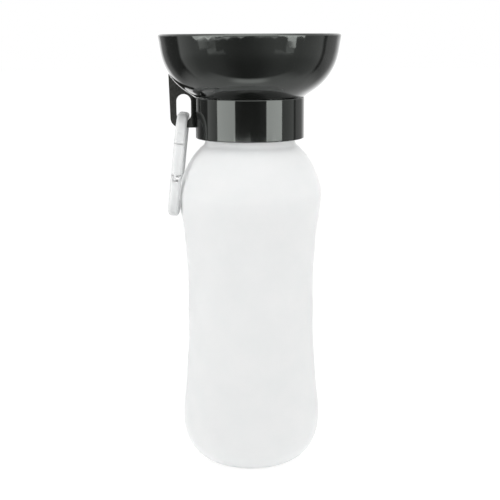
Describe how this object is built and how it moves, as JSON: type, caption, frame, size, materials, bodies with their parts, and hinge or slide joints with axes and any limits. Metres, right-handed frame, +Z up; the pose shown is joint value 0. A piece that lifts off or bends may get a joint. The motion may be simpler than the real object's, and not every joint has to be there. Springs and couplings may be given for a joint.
{
  "type": "dog travel water bottle",
  "caption": "Squeeze water bottle with a drinking bowl on a screw collar, a quarter-turn shut-off and a snap ring hung from a lug.",
  "frame": {"origin": "centre of the ring the bottle stands on, on the bottle's axis", "axes": "+Z up along the bottle's axis, -X towards the lug and the snap ring, -Y towards the camera of the picture"},
  "size_m": [0.092, 0.092, 0.223],
  "materials": {
    "milky_plastic": "milky translucent, satin",
    "black_plastic": "high gloss, moulded",
    "grey_plastic": "light grey, satin",
    "clear_silicone": "milky silicone",
    "black_rubber": "smooth",
    "tube_plastic": "translucent tube",
    "spring_steel": "drawn wire"
  },
  "bodies": {
    "bottle_unit": {"bottle": "milky_plastic"},
    "gasket_unit": {"neck_gasket": "clear_silicone"},
    "cap_unit": {"collar": "black_plastic", "valve_seal": "clear_silicone", "dip_tube": "tube_plastic"},
    "bowl_unit": {"bowl": "black_plastic", "hub_o_ring": "black_rubber", "drain_strainer": "black_plastic"},
    "snap_ring_unit": {"carabiner_body": "grey_plastic", "gate_pin": "spring_steel", "gate_spring": "spring_steel"},
    "gate_unit": {"carabiner_gate": "grey_plastic"}
  },
  "joints": [
    {"name": "cap_rise", "type": "slide", "parent": "bottle_unit", "child": "gasket_unit", "axis": [0, 0, 1], "range_m": [0, 0.004]},
    {"name": "cap_turn", "type": "hinge", "parent": "gasket_unit", "child": "cap_unit", "pos_m": [0, 0, 0.1787], "axis": [0, 0, 1], "range_deg": [0, 450.5]},
    {"name": "bowl_twist", "type": "hinge", "parent": "cap_unit", "child": "bowl_unit", "pos_m": [0, 0, 0.185], "axis": [0, 0, 1], "range_deg": [0, 90]},
    {"name": "clip_swing", "type": "hinge", "parent": "cap_unit", "child": "snap_ring_unit", "pos_m": [-0.0335, 0, 0.1833], "axis": [0, 1, 0], "range_deg": [0, 135]},
    {"name": "gate_swing", "type": "hinge", "parent": "snap_ring_unit", "child": "gate_unit", "pos_m": [-0.03729, -0.0126, 0.1518], "axis": [-0.9934, 0, 0.1143], "range_deg": [0, 30], "stiffness_Nm_per_rad": 0.008, "springref_deg": -20.05, "deforming": ["gate_spring"]}
  ],
  "couplings": [
    {"joint": "cap_turn", "follows": "cap_rise", "rad_per_m": 1963.5}
  ]
}
